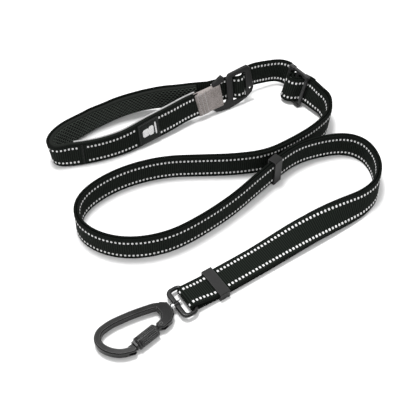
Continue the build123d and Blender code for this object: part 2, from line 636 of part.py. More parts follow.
def make_lock_sleeve():
    """The knurled twist-lock sleeve, turning on the gate."""
    body = chamfer(rod(SLEEVE_FROM, SLEEVE_TO, SLEEVE_OUTER).edges(), 0.7)
    body -= rod(SLEEVE_FROM - 1, SLEEVE_TO + 1, SLEEVE_BORE)
    body -= rod(SLEEVE_TO - 3.8, SLEEVE_TO - 2.8, 6) - rod(0, 60, SLEEVE_OUTER - 0.6)
    liner = rod(SLEEVE_FROM, SLEEVE_FROM + SLEEVE_LINER, SLEEVE_BORE + 0.1)
    liner -= rod(SLEEVE_FROM - 1, SLEEVE_TO, GATE_RADIUS + 0.05)
    pin_groove = rod(GUIDE_PIN_AT - 0.9, GUIDE_PIN_AT + 0.9, 4.4)
    flute_at = SLEEVE_OUTER + 0.15
    flute = Pos(0, 0, flute_at) * rod(SLEEVE_FROM + 1.6, SLEEVE_TO - 4.6, FLUTE_RADIUS)
    flutes = [Rot(360 / FLUTES * k, 0, 0) * flute for k in range(FLUTES)]
    return in_gate(body + liner - pin_groove - flutes)


def make_sleeve_spring():
    """The sleeve's return spring, drawn as the tube it fills round the gate."""
    tube = rod(SLEEVE_TO - 7.4, SLEEVE_TO - 0.3, SLEEVE_BORE - 0.1)
    return in_gate(tube - rod(0, 60, GATE_RADIUS + 0.1))


def make_guide_pin():
    return in_gate(Pos(GUIDE_PIN_AT, 0, 0) * Cylinder(GUIDE_RADIUS, 8.4))


def save(node, shape):
    """Writes one sub-part, moved so that the part's origin is under its middle."""
    solids = shape.solids() if hasattr(shape, "solids") else [shape]
    print(node, "solids", len(solids))
    moved = Pos(-PLAN_CENTRE[0], -PLAN_CENTRE[1], 0) * Compound(solids)
    export_step(moved if len(solids) > 1 else moved.solids()[0], f"parts/{node}.step")


os.makedirs("parts", exist_ok=True)
if __name__ == "__main__":
    save("lead_running_ply", make_running_ply())
    save("lead_return_ply", make_return_ply())
    save("handle_webbing", make_handle_webbing())
    save("handle_foam", make_handle_foam())
    save("handle_mesh_lining", make_handle_lining())
    save("handle_edge_binding", make_handle_binding())
    save("label_patch", make_label_patch())
    save("release_buckle", make_buckle())
    save("tab_cover", make_tab_cover())
    save("tab_seam", make_tab_seam())
    save("slider_frame", make_slider())
    save("near_keeper", make_near_keeper())
    save("far_keeper", make_far_keeper())
    save("swivel_eye", make_swivel_eye())
    save("swivel_pin", make_swivel_pin())
    save("swivel_washer", make_swivel_washer())
    save("carabiner_body", finish_clip_body())
    save("gate", make_gate())
    save("gate_pivot_pin", make_gate_pin())
    save("gate_spring", make_gate_spring())
    save("gate_stop_block", make_gate_block())
    save("lock_sleeve", make_lock_sleeve())
    save("sleeve_spring", make_sleeve_spring())
    save("sleeve_guide_pin", make_guide_pin())
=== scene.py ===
import bpy
import bmesh
import math
from bisect import bisect_right
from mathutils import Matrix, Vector


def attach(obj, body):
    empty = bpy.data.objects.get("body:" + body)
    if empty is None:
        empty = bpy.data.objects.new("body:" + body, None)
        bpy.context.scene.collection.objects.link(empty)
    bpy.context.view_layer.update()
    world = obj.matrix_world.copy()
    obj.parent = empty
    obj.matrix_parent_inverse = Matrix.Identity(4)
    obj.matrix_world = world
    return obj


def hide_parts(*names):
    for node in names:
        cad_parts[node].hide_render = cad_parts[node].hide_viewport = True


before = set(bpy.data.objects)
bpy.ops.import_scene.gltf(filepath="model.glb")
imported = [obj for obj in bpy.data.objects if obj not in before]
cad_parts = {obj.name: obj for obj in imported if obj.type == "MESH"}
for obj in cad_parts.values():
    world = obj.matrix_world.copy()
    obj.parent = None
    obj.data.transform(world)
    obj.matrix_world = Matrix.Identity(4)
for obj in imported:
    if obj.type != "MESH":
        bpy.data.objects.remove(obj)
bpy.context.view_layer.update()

UP = Vector((0, 0, 1))

# ---- the drawing's origin and the sizes of the webbing, as in the CAD, in metres ----------
PLAN_CENTRE = Vector((-0.01683, -0.00802, 0))  # plan point that becomes the part's origin
WEB_WIDTH = 0.025
WEB_THICK = 0.0022
WEB_CORNER = 0.0008         # radius of its edges
PLY_GAP = 0.0005            # air between the two plies of the lead
PLY_OFFSET = (WEB_THICK + PLY_GAP) / 2
STACK = 2 * WEB_THICK + PLY_GAP

FLOOR_GAP = 0.0003          # how high the lower edge is held: free,
HOOK_LIFT = 0.0085          # where the buckle holds it,
SLIDER_LIFT = 0.004         # where the slider does
KEEPER_LIFT = 0.0018        # and where a keeper does

LAST_RUN_ANGLE = 33.7       # heading of the straight run that ends at the swivel eye
NEAR_KEEPER = Vector((0.0127, -0.0922, 0))
NEAR_STACK_Z = 0.004        # middle of the two flat plies at the near keeper
EYE_BAR_AT = -0.026         # from the near keeper to the eye's strap bar, along the run
EYE_BAR_Z = 0.0054
EYE_BAR_RADIUS = 0.0017
EYE_ROOM = 0.00065          # between the strap bar and the webbing folded round it
EYE_WEB_WIDTH = 0.022       # the webbing narrows as it folds round the bar
FOLD_RADIUS = EYE_BAR_RADIUS + EYE_ROOM + WEB_THICK / 2
FOLD_STEPS = 16

BUCKLE_FOOT = Vector((0.0192, 0.1093, 0.0016))
BUCKLE_HEADING = 29.0       # degrees from +X
BUCKLE_LEAN = 10.0          # degrees that its top leans back
BUCKLE_THICK = 0.003
SLIDER_FOOT = Vector((0.0881, 0.1273, 0.0006))
SLIDER_HEADING = -50.7
SLIDER_LEAN = 16.0

HANDLE_FOAM = 0.0032
HANDLE_LINING = 0.0008
LINING_WIDTH = 0.0236
LINING_CORNER = 0.0014
HANDLE_STACK = WEB_THICK + HANDLE_FOAM + HANDLE_LINING

# ---- routes of the webbing's lower edge, in plan ------------------------------------------
# The running ply comes from the handle, goes behind the buckle and through the slider, and
# becomes one ply of the lead. HOOK_ROUTE is its stretch in the buckle's own plan and
# WEAVE_ROUTE the one in the slider's. LOOP_ROUTE, also in the slider's, is the return ply's
# sewn loop.
RUNNING_ROUTE = [(0.058, 0.1446), (0.074, 0.1516), (0.0845, 0.147)]
HOOK_ROUTE = [(-0.006, 0.0092), (0.005, 0.0073), (0.0135, 0.0061), (0.0174, 0.006),
              (0.021, 0.0016), (0.0278, 0.0014), (0.0319, 0.009), (0.042, 0.0122)]
WEAVE_ROUTE = [(-0.016, -0.0068), (-0.0126, -0.0049), (-0.007, -0.0044), (-0.0079, 0.0074),
               (0.0026, 0.0062), (0.0084, -0.0044), (0.014, -0.0043)]
LOOP_ROUTE = [(0.03, -0.007), (0.012, -0.007), (0.0062, -0.0063), (0.001, 0.0034),
              (-0.0049, 0.0033), (-0.0044, -0.0039), (0.002, -0.0045), (0.0062, -0.00965),
              (0.014, -0.0097)]
# The doubled lead, along the middle between its plies, from the slider to the swivel eye.
LEAD_ROUTE = [(0.1013, 0.12), (0.1088, 0.1116), (0.1186, 0.1016), (0.1192, 0.084),
              (0.1054, 0.0678), (0.084, 0.0512), (0.06, 0.036), (0.032, 0.031),
              (0.002, 0.0298), (-0.032, 0.0284), (-0.066, 0.017), (-0.0923, -0.0015),
              (-0.1052, -0.0216), (-0.102, -0.0428), (-0.0832, -0.0579), (-0.0562, -0.0634),
              (-0.0256, -0.0566), (0.0018, -0.0388), (0.0286, -0.016), (0.0546, 0.011),
              (0.081, 0.0392), (0.105, 0.0518), (0.131, 0.0576), (0.1488, 0.0502),
              (0.1572, 0.0325), (0.1576, 0.013), (0.1515, -0.0075), (0.128, -0.0303)]
# The padded handle, along the middle of its thickness, from the lead round to the grey tab.
HANDLE_ROUTE = [(-0.018, 0.1104), (-0.037, 0.1129), (-0.0575, 0.1108), (-0.079, 0.1032),
                (-0.102, 0.0878), (-0.1215, 0.0686), (-0.1328, 0.0545), (-0.132, 0.0438),
                (-0.1215, 0.0416), (-0.104, 0.0448), (-0.085, 0.051), (-0.0665, 0.0586),
                (-0.048, 0.0702), (-0.028, 0.0828), (-0.0084, 0.0987), (0.0087, 0.1083)]

DASH_PITCH = 0.00343        # from one reflective stitch to the next
DASH_ROW = 0.00815          # each row's distance from the webbing's middle
DASH_SIZE = (0.0019, 0.0023, 0.0003)  # along the webbing, across it and out of it


def unit(angle):
    """The direction in plan at an angle in degrees from +X."""
    a = math.radians(angle)
    return Vector((math.cos(a), math.sin(a), 0))


def leaning(heading, lean):
    """The direction of an edge that stands up and leans to the left of a heading."""
    a = math.radians(lean)
    return unit(heading + 90) * math.sin(a) + UP * math.cos(a)


RUN_U = unit(LAST_RUN_ANGLE)
RUN_W = unit(LAST_RUN_ANGLE - 90)
BUCKLE_RIB = leaning(BUCKLE_HEADING, BUCKLE_LEAN)
SLIDER_RIB = leaning(SLIDER_HEADING, SLIDER_LEAN)


def on_last_run(along, across, z=0.0):
    """A point measured from the near keeper, along the last run and to its right."""
    return NEAR_KEEPER + RUN_U * along + RUN_W * across + UP * z


def in_buckle_plan(along, behind):
    """A point at the height of the buckle's foot, along the buckle and behind it."""
    return BUCKLE_FOOT + unit(BUCKLE_HEADING) * along + unit(BUCKLE_HEADING + 90) * behind


def in_slider_plan(along, across):
    """A point at the height of the slider's foot, along the slider and to its right."""
    return SLIDER_FOOT + unit(SLIDER_HEADING) * along + unit(SLIDER_HEADING - 90) * across


def eased(pairs, s):
    """A value that eases from one (distance, value) pair to the next."""
    if s <= pairs[0][0]:
        return pairs[0][1]
    for (s0, v0), (s1, v1) in zip(pairs, pairs[1:]):
        if s <= s1:
            f = (s - s0) / (s1 - s0)
            f = f * f * (3 - 2 * f)
            return v0 + (v1 - v0) * f
    return pairs[-1][1]


# ---- camera -------------------------------------------------------------------------------
CAMERA_PLACE = Vector((0, -0.4885, 0.5822))   # it looks at the drawing's origin
CAMERA_LENS = 77.4                            # millimetres, on a sensor 36 mm wide


def make_camera():
    data = bpy.data.cameras.new("camera")
    data.sensor_width = 36
    data.lens = CAMERA_LENS
    data.clip_start = 0.01
    camera = bpy.data.objects.new("camera", data)
    bpy.context.scene.collection.objects.link(camera)
    camera.location = CAMERA_PLACE - PLAN_CENTRE
    camera.rotation_euler = (-CAMERA_PLACE).to_track_quat("-Z", "Y").to_euler()
    bpy.context.scene.camera = camera


# ---- routes and ribbons -------------------------------------------------------------------
class Line:
    """The points of a route's smooth spline, with the distance to each."""

    def __init__(self, route):
        data = bpy.data.curves.new("route", "CURVE")
        data.dimensions = "3D"
        data.resolution_u = 16
        spline = data.splines.new("NURBS")
        spline.points.add(len(route) - 1)
        for point, at in zip(spline.points, route):
            point.co = (at[0], at[1], 0, 1)
        spline.order_u = 3
        spline.use_endpoint_u = True
        holder = bpy.data.objects.new("route", data)
        bpy.context.scene.collection.objects.link(holder)
        mesh = bpy.data.meshes.new_from_object(holder)
        self.points = [v.co.copy() for v in mesh.vertices]
        bpy.data.meshes.remove(mesh)
        bpy.data.objects.remove(holder)
        self.distances = [0.0]
        for a, b in zip(self.points, self.points[1:]):
            self.distances.append(self.distances[-1] + (b - a).length)
        self.length = self.distances[-1]

    def stations(self):
        """(distance, point, heading) at each point."""
        last = len(self.points) - 1
        for i, point in enumerate(self.points):
            ahead = self.points[min(i + 1, last)] - self.points[max(i - 1, 0)]
            yield self.distances[i], point, ahead.normalized()

    def nearest(self, point):
        """The distance down the route of its point closest to a plan point."""
        gaps = [(p - Vector((*point, 0))).length for p in self.points]
        return self.distances[gaps.index(min(gaps))]


class Strip:
    """A band: a row of (middle, rib, face) stations, where rib runs from its lower edge to its
    upper one and face points out of its right side."""

    def __init__(self, rows):
        self.rows = [(m - PLAN_CENTRE, r.normalized(), f.normalized()) for m, r, f in rows]
        self.distances = [0.0]
        for a, b in zip(self.rows, self.rows[1:]):
            self.distances.append(self.distances[-1] + (b[0] - a[0]).length)
        self.length = self.distances[-1]

    def at(self, s):
        """The (middle, rib, face) at a distance down the band."""
        s = min(max(s, 0.0), self.length)
        i = min(max(bisect_right(self.distances, s) - 1, 0), len(self.rows) - 2)
        span = self.distances[i + 1] - self.distances[i]
        f = (s - self.distances[i]) / span if span else 0.0
        a, b = self.rows[i], self.rows[i + 1]
        return tuple(x.lerp(y, f) for x, y in zip(a, b))

    def path(self):
        """Its middle line, from its start."""
        return [m for m, _, _ in self.rows]


def band_section(width, thick, corner):
    """A flat section with rounded edges, as (across, out) points round it."""
    points = []
    for sx, sy, start in ((1, 1, 0), (-1, 1, 90), (-1, -1, 180), (1, -1, 270)):
        for step in range(4):
            a = math.radians(start + 30 * step)
            points.append((sx * (width / 2 - corner) + corner * math.cos(a),
                           sy * (thick / 2 - corner) + corner * math.sin(a)))
    return points


def new_piece(name, mesh):
    """An object for a mesh; everything that the script builds rides on the lead."""
    piece = bpy.data.objects.new(name, mesh)
    bpy.context.scene.collection.objects.link(piece)
    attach(piece, "lead")
    return piece


def smooth(mesh, angle):
    """Smooth shading, but for edges sharper than the angle, in degrees."""
    for polygon in mesh.polygons:
        polygon.use_smooth = True
    mesh.set_sharp_from_angle(angle=math.radians(angle))


def loft(name, strip, section, relief=None):
    """Sweeps a section of (across, out) points down a strip. relief(s, across, out) may move a
    section point. UVs hold the distance along and the place across, in metres."""
    mesh = bpy.data.meshes.new(name)
    bm = bmesh.new()
    uv = bm.loops.layers.uv.new("strap")
    count = len(section)
    rings = []
    for s, (middle, rib, face) in zip(strip.distances, strip.rows):
        ring = []
        for across, out in section:
            if relief:
                across, out = relief(s, across, out)
            ring.append(bm.verts.new(middle + rib * across + face * out))
        rings.append(ring)
    for i in range(len(rings) - 1):
        for k in range(count):
            n = (k + 1) % count
            quad = bm.faces.new((rings[i][k], rings[i][n], rings[i + 1][n], rings[i + 1][k]))
            s0, s1 = strip.distances[i], strip.distances[i + 1]
            places = ((s0, k), (s0, n), (s1, n), (s1, k))
            for loop, (s, j) in zip(quad.loops, places):
                loop[uv].uv = (s, section[j][0])
    bm.faces.new(list(reversed(rings[0])))
    bm.faces.new(rings[-1])
    bmesh.ops.recalc_face_normals(bm, faces=bm.faces)
    bm.to_mesh(mesh)
    bm.free()
    smooth(mesh, 50)
    return mesh


def add_pad(bm, centre, along, across, out, length, width, height):
    """A small domed stitch: a rounded rectangle whose middle is raised."""
    levels = ((1.0, 0.0), (0.86, 0.75), (0.5, 1.0))
    rings = []
    for scale, rise in levels:
        ring = []
        for step in range(8):
            a = math.radians(45 * step + 22.5)
            x = math.copysign(abs(math.cos(a)) ** 0.5, math.cos(a)) * length / 2 * scale
            y = math.copysign(abs(math.sin(a)) ** 0.5, math.sin(a)) * width / 2 * scale
            ring.append(bm.verts.new(centre + along * x + across * y + out * height * rise))
        rings.append(ring)
    for a, b in zip(rings, rings[1:]):
        for k in range(8):
            n = (k + 1) % 8
            bm.faces.new((a[k], a[n], b[n], b[k]))
    bm.faces.new(rings[-1])


def add_dashes(bm, strip, side, first, last, skip=(), width_at=None):
    """Two rows of reflective stitches on one face of a strip."""
    count = int((last - first) / DASH_PITCH)
    for k in range(count):
        s = first + (k + 0.5) * DASH_PITCH
        if any(a < s < b for a, b in skip):
            continue
        middle, rib, face = strip.at(s)
        along = (strip.at(s + 0.0006)[0] - strip.at(s - 0.0006)[0]).normalized()
        spread = DASH_ROW * (width_at(s) if width_at else 1.0)
        for row in (-1, 1):
            centre = middle + rib * row * spread + face * side * (WEB_THICK / 2 - 0.00003)
            add_pad(bm, centre, along, rib, face * side, *DASH_SIZE)


def piece_of(name, bm):
    """A piece made from a finished bmesh."""
    mesh = bpy.data.meshes.new(name)
    bm.to_mesh(mesh)
    bm.free()
    smooth(mesh, 60)
    return new_piece(name, mesh)


def dash_piece(name, strip, sides, first=0.001, last=None, skip=(), width_at=None):
    """Stitches on one or both faces of a strip, as one piece."""
    bm = bmesh.new()
    end = strip.length - 0.001 if last is None else last
    for side in sides:
        add_dashes(bm, strip, side, first, end, skip, width_at)
    return piece_of(name, bm)


def add_seam(bm, points, out, pitch=0.0016, length=0.0012, width=0.0005, height=0.0002):
    """A row of small stitches along the straight runs between points."""
    for a, b in zip(points, points[1:]):
        along = (b - a).normalized()
        count = max(1, round((b - a).length / pitch))
        for k in range(count):
            centre = a.lerp(b, (k + 0.5) / count)
            add_pad(bm, centre, along, along.cross(out), out, length, width, height)


# ---- the lead -----------------------------------------------------------------------------
# Distances down LEAD, whose origin is at the slider: the eye's strap bar, the near keeper, the
# ends of the stretch where the webbing turns from its edge to flat, the far keeper and the
# coil's first bend. The lists below hold (distance, value) pairs for eased().
BAR_FOOT = on_last_run(EYE_BAR_AT, WEB_WIDTH / 2)
LEAD = Line(LEAD_ROUTE + [(BAR_FOOT.x, BAR_FOOT.y)])
BAR_S = LEAD.length
KEEPER_S = BAR_S + EYE_BAR_AT
FLAT_S = KEEPER_S - 0.034
TWIST_S = BAR_S - 0.222
FAR_KEEPER_S = LEAD.nearest((0.068, 0.022))
TIP_S = LEAD.nearest((0.121, 0.092))
# How far the webbing leans to the right of its heading, in degrees; 90 is flat.
LEAN = [(0, -SLIDER_LEAN), (TIP_S * 0.5, -8.0), (TIP_S + 0.02, 0.0), (TWIST_S, 0.0),
        (FLAT_S, 90.0)]
LIFT = [(0, SLIDER_LIFT), (0.014, SLIDER_LIFT), (TIP_S, 0.001), (TIP_S + 0.04, FLOOR_GAP),
        (FAR_KEEPER_S - 0.06, FLOOR_GAP), (FAR_KEEPER_S - 0.022, KEEPER_LIFT),
        (FAR_KEEPER_S + 0.02, KEEPER_LIFT), (FAR_KEEPER_S + 0.06, FLOOR_GAP),
        (TWIST_S, FLOOR_GAP), (FLAT_S, NEAR_STACK_Z - STACK / 2)]
# From the route to each ply, how far the return ply bows up before the strap bar, the width
# left as the webbing narrows, the return ply's room for its own sewn end, and the climb to
# the bar.
SPREAD = [(0, PLY_OFFSET), (KEEPER_S + 0.009, PLY_OFFSET), (BAR_S - 0.002, FOLD_RADIUS)]
ARCH = [(KEEPER_S + 0.007, 0.0), (BAR_S - 0.009, 0.0036), (BAR_S - 0.001, 0.0)]
NARROW = [(KEEPER_S + 0.008, 1.0), (BAR_S - 0.003, EYE_WEB_WIDTH / WEB_WIDTH)]
SEWN = [(0, WEB_THICK + PLY_GAP), (0.016, WEB_THICK + PLY_GAP), (0.034, 0.0)]
RISE = [(KEEPER_S + 0.008, 0.0), (BAR_S - 0.003, EYE_BAR_Z - NEAR_STACK_Z)]


def rib_at(heading, lean):
    """The edge-to-edge direction of webbing that leans to the right of its heading."""
    right = heading.cross(UP).normalized()
    a = math.radians(lean)
    return UP * math.cos(a) + right * math.sin(a)


def station(foot, heading, rib, offset):
    """A strip's row whose lower edge is at foot, moved to the right of its heading by offset."""
    face = heading.cross(rib).normalized()
    return foot + face * offset + rib * WEB_WIDTH / 2, rib, face


def lead_rows(side):
    """Rows down the lead; side is +1 for the ply that runs on to the handle."""
    rows = []
    for s, point, heading in LEAD.stations():
        lean = eased(LEAN, s)
        lift = eased(LIFT, s) + eased(RISE, s)
        lift += STACK / 2 * max(math.sin(math.radians(lean)), 0.0)
        offset = side * eased(SPREAD, s)
        if side < 0:
            offset -= eased(SEWN, s) + eased(ARCH, s)
        rows.append(station(point + UP * lift, heading, rib_at(heading, lean), offset))
    return rows


def running_strip():
    """The running ply, and the length of its stretch from the buckle to the slider."""
    weave = [in_slider_plan(*p)[:2] for p in WEAVE_ROUTE]
    hook = [in_buckle_plan(*p)[:2] for p in HOOK_ROUTE]
    line = Line(hook + RUNNING_ROUTE + weave)
    rows = []
    for s, point, heading in line.stations():
        f = eased([(0.04, 0.0), (line.length - 0.046, 1.0)], s)
        rib = BUCKLE_RIB.lerp(SLIDER_RIB, f).normalized()
        foot = point + UP * (HOOK_LIFT * (1 - f) + SLIDER_LIFT * f)
        rows.append(station(foot, heading, rib, 0.0))
    return Strip(rows + lead_rows(+1)[1:]), line.length


def return_strip():
    """The return ply, and the length of its sewn loop."""
    line = Line([in_slider_plan(*p)[:2] for p in LOOP_ROUTE])
    rows = [station(p + UP * SLIDER_LIFT, h, SLIDER_RIB, 0.0) for _, p, h in line.stations()]
    rows += lead_rows(-1)[1:]
    for step in range(1, FOLD_STEPS + 1):
        a = math.radians(90 - 180 * step / FOLD_STEPS)
        out = RUN_U * -math.cos(a) + UP * math.sin(a)
        middle = on_last_run(EYE_BAR_AT, 0, EYE_BAR_Z) + out * FOLD_RADIUS
        rows.append((middle, RUN_W * -1, out * -1))
    return Strip(rows), line.length


def make_lead():
    """Both plies of the lead, each one piece, and the stitches that go with them."""
    section = band_section(WEB_WIDTH, WEB_THICK, WEB_CORNER)
    running, weave_length = running_strip()
    back, loop_length = return_strip()

    def running_width(s):
        return eased(NARROW, s - weave_length)

    def return_width(s):
        return eased(NARROW, s - loop_length)

    made = []
    for name, strip, node, width in (("running_ply", running, "lead_running_ply", running_width),
                                     ("return_ply", back, "lead_return_ply", return_width)):
        mesh = loft(name, strip, section, lambda s, a, o, width=width: (a * width(s), o))
        piece = new_piece(name, mesh)
        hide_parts(node)
        made.append(piece)
    stitches = [dash_piece("running_ply_stitches", running, (1, -1), last=weave_length),
                dash_piece("running_ply_outer_stitches", running, (1,), weave_length,
                           width_at=running_width),
                dash_piece("return_ply_stitches", back, (-1,), loop_length - 0.03,
                           width_at=return_width),
                dash_piece("return_loop_stitches", back, (1,), last=loop_length)]
    for piece, strip, pieces in ((made[0], running, stitches[:2]), (made[1], back, stitches[2:])):
        path = strip.path()
    return made, stitches


# ---- handle -------------------------------------------------------------------------------
# It starts beside the start of the running ply, behind the buckle.
HANDLE_START = in_buckle_plan(HOOK_ROUTE[0][0] - 0.0003, HOOK_ROUTE[0][1] - 0.002)
HANDLE = Line([HANDLE_START[:2]] + HANDLE_ROUTE)
PAD_START = 0.01            # the padding starts behind the buckle
PAD_END = HANDLE.length - 0.0182
PIPING_START = HANDLE.length - 0.14
PIPING_END = HANDLE.length - 0.012
PIPING_RADIUS = 0.0008
# The lower edge's height, the lean to the right in degrees, and how far the lean is the
# buckle's own.
HANDLE_LIFT = [(0, HOOK_LIFT), (0.12, 0.0006), (HANDLE.length - 0.11, 0.0006),
               (HANDLE.length - 0.018, 0.0055)]
HANDLE_OUT = [(0.025, 0.0), (0.075, -6.0), (0.1, -4.0), (0.122, 1.0), (0.15, 9.0), (0.168, 7.0),
              (0.19, -5.0), (0.215, -3.0), (HANDLE.length - 0.045, -14.0)]
AT_BUCKLE = [(0, 1.0), (0.06, 0.0), (HANDLE.length - 0.075, 0.0), (HANDLE.length - 0.018, 1.0)]
TACK_FROM_END = 0.1325      # a bar tack interrupts the stitching here
LABEL_FROM_END = 0.068      # to the label's middle
LABEL_SIZE = (0.022, 0.0226)
LABEL_THICK = 0.0007
LABEL_STEPS = 22


def handle_strip(offset, across=0.0, first=0.0, last=HANDLE.length):
    """The handle's band at an offset from the middle of its thickness; across moves it up."""
    rows = []
    for s, point, heading in HANDLE.stations():
        if first <= s <= last:
            rib = rib_at(heading, eased(HANDLE_OUT, s)).lerp(BUCKLE_RIB, eased(AT_BUCKLE, s))
            rib = rib.normalized()
            middle, rib, face = station(point + UP * eased(HANDLE_LIFT, s), heading, rib, offset)
            rows.append((middle + rib * across, rib, face))
    return Strip(rows)


def pad_relief(length):
    """The padding swells between its sewn edges, with slow ripples, and closes at its ends."""
    def relief(s, across, out):
        end = min(1.0, (min(s, length - s) + 0.0006) / 0.003)
        half = out * (0.72 + 0.28 * end)
        if out < 0:
            swell = 1 - (across / (WEB_WIDTH / 2)) ** 2
            turn = 2 * math.pi * s
            ripple = 0.06 * math.sin(turn / 0.031) + 0.04 * math.sin(turn / 0.019)
            half -= 0.0004 * swell * (1 + ripple)
        return across, half
    return relief


def pad_section(width, thick, corner):
    """A rounded section with extra points across its inner face."""
    points = band_section(width, thick, corner)
    inner = [(width * (k / 10 - 0.5), -thick / 2) for k in range(2, 9)]
    return points[:12] + inner + points[12:]


def make_handle():
    """The handle's webbing with its stitches, and the mesh-lined padding under it."""
    webbing_strip = handle_strip((HANDLE_STACK - WEB_THICK) / 2)
    webbing = new_piece("handle_strap", loft("handle_strap", webbing_strip,
                                             band_section(WEB_WIDTH, WEB_THICK, WEB_CORNER)))
    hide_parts("handle_webbing")
    end = webbing_strip.length
    tack = end - TACK_FROM_END
    label = end - LABEL_FROM_END
    gaps = [(tack - 0.003, tack + 0.003),
            (label - LABEL_SIZE[0] / 2 - 0.0015, label + LABEL_SIZE[0] / 2 + 0.001)]
    stitches = dash_piece("handle_stitches", webbing_strip, (1,), skip=gaps)
    pad_thick = HANDLE_FOAM + HANDLE_LINING
    pad_strip = handle_strip(HANDLE_STACK / 2 - WEB_THICK - pad_thick / 2, first=PAD_START,
                             last=PAD_END)
    mesh = loft("handle_mesh", pad_strip, pad_section(LINING_WIDTH, pad_thick, LINING_CORNER),
                pad_relief(pad_strip.length))
    pad = new_piece("handle_mesh", mesh)
    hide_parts("handle_foam", "handle_mesh_lining")
    return webbing, stitches, pad, webbing_strip


def make_piping():
    """A round cord in a fold of cloth along the padding's upper edge."""
    strip = handle_strip(0.0009 - HANDLE_STACK / 2, WEB_WIDTH / 2 - 0.0006, PIPING_START,
                         PIPING_END)
    turns = [math.radians(45 * k) for k in range(8)]
    round_section = [(PIPING_RADIUS * math.cos(a), PIPING_RADIUS * math.sin(a)) for a in turns]
    piece = new_piece("handle_piping", loft("handle_piping", strip, round_section))
    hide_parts("handle_edge_binding")
    return piece


def make_tacks(strip):
    """Close zigzag stitching across the handle where its padding is caught down."""
    s = strip.length - TACK_FROM_END
    middle, rib, face = strip.at(s)
    along = (strip.at(s + 0.001)[0] - strip.at(s - 0.001)[0]).normalized()
    out = face * (WEB_THICK / 2)
    points = [middle + out + rib * WEB_WIDTH * (k / 26 - 0.5) * 0.92
              + along * 0.0008 * (-1) ** k for k in range(27)]
    bm = bmesh.new()
    add_seam(bm, points, face, 0.002, 0.0018, 0.00045, 0.00018)
    piece = piece_of("handle_tack", bm)
    return piece


def make_label(strip):
    """A woven patch with a stitched outline and a plain pale emblem."""
    length, width = LABEL_SIZE
    middle_s = strip.length - LABEL_FROM_END
    rows = []
    for k in range(LABEL_STEPS + 1):
        middle, rib, face = strip.at(middle_s + length * (k / LABEL_STEPS - 0.5))
        rows.append((middle + face * (WEB_THICK / 2 + 0.0004) + PLAN_CENTRE, rib, face))
    patch_strip = Strip(rows)
    patch = new_piece("label_patch_cloth", loft("label_patch_cloth", patch_strip,
                                                band_section(width, LABEL_THICK, 0.0003)))
    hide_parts("label_patch")
    bm = bmesh.new()
    outline = [(-0.45, -0.46), (0.45, -0.46), (0.45, 0.46), (-0.45, 0.46), (-0.45, -0.46)]
    points = []
    for along, across in outline:
        middle, rib, face = patch_strip.at((along + 0.5) * patch_strip.length)
        points.append(middle + rib * width * across + face * 0.00037)
    add_seam(bm, points, patch_strip.at(length / 2)[2], 0.0015, 0.0012, 0.0004, 0.00015)
    outline_piece = piece_of("label_outline", bm)
    return patch, outline_piece, make_emblem(patch_strip, width)


def make_emblem(strip, width):
    """Two embroidered lobes and a bar: a generic mark."""
    bm = bmesh.new()
    middle, rib, face = strip.at(strip.length * 0.45)
    along = (strip.at(strip.length * 0.55)[0] - strip.at(strip.length * 0.35)[0]).normalized()
    base = middle + face * 0.00036
    for shift, size in ((-0.0022, (0.0072, 0.0085)), (0.0036, (0.0056, 0.0102))):
        add_pad(bm, base + along * shift, along, rib, face, *size, 0.00035)
    add_pad(bm, base + along * 0.0084, along, rib, face, 0.0018, width * 0.62, 0.00035)
    piece = piece_of("label_emblem", bm)
    return piece


# ---- tab ----------------------------------------------------------------------------------
# The ends of its two long edges, as (along the buckle, up its face).
TAB_TOP = ((-0.0254, 0.0294), (0.0026, 0.0312))
TAB_BOTTOM = ((-0.0211, 0.003), (0.0055, 0.0057))
TAB_THICK = 0.0058
TAB_WIDTH = 0.0262
TAB_CORNER = 0.0014
TAB_FLAP = 0.38             # the sewn flap covers this part of its length
TAB_STITCH = (0.0017, 0.0014, 0.0005, 0.00022)  # pitch, length, width and height
TAB_STEPS = 80


def on_buckle(along, up, out):
    """A point from the buckle's own frame: along it, up its face and out in front of it."""
    normal = unit(BUCKLE_HEADING).cross(BUCKLE_RIB)
    return BUCKLE_FOOT + unit(BUCKLE_HEADING) * along + BUCKLE_RIB * up + normal * out


def tab_edge(ends, f):
    """The point at part f of the way down one of the tab's two long edges."""
    (t0, r0), (t1, r1) = ends
    return on_buckle(t0 + (t1 - t0) * f, r0 + (r1 - r0) * f, -BUCKLE_THICK / 2)


def tab_strip():
    """The tab's band, along the buckle."""
    normal = unit(BUCKLE_HEADING).cross(BUCKLE_RIB)
    rows = []
    for k in range(TAB_STEPS + 1):
        low, high = tab_edge(TAB_BOTTOM, k / TAB_STEPS), tab_edge(TAB_TOP, k / TAB_STEPS)
        rows.append(((low + high) / 2, high - low, normal))
    return Strip(rows)


def tab_relief(strip):
    """Rounds the ends, steps down off the flap and sinks the seams."""
    def relief(s, across, out):
        end = min(s, strip.length - s)
        puff = math.sqrt(max(0.0, 1 - (1 - min(1.0, (end + 0.0003) / 0.0028)) ** 2))
        half = out * (0.3 + 0.7 * puff)
        if out > 0:
            f = s / strip.length
            half -= 0.0007 / (1 + math.exp(-(f - TAB_FLAP) * 160))
            for seam in (0.1, 0.22, TAB_FLAP - 0.02):
                half -= 0.0003 * math.exp(-((f - seam) / 0.018) ** 2)
            half -= 0.0004 * (abs(across) / 0.0125) ** 6
        return across, half
    return relief


def tab_section():
    """A flat section with rounded edges and many points across each face."""
    points = []
    for side in (1, -1):
        for k in range(25):
            across = -side * TAB_WIDTH * (k / 24 - 0.5)
            inset = max(0.0, abs(across) - (TAB_WIDTH / 2 - TAB_CORNER)) / TAB_CORNER
            drop = TAB_CORNER * (1 - math.sqrt(max(0.0, 1 - inset ** 2)))
            points.append((across, side * (TAB_THICK / 2 - drop)))
    return points


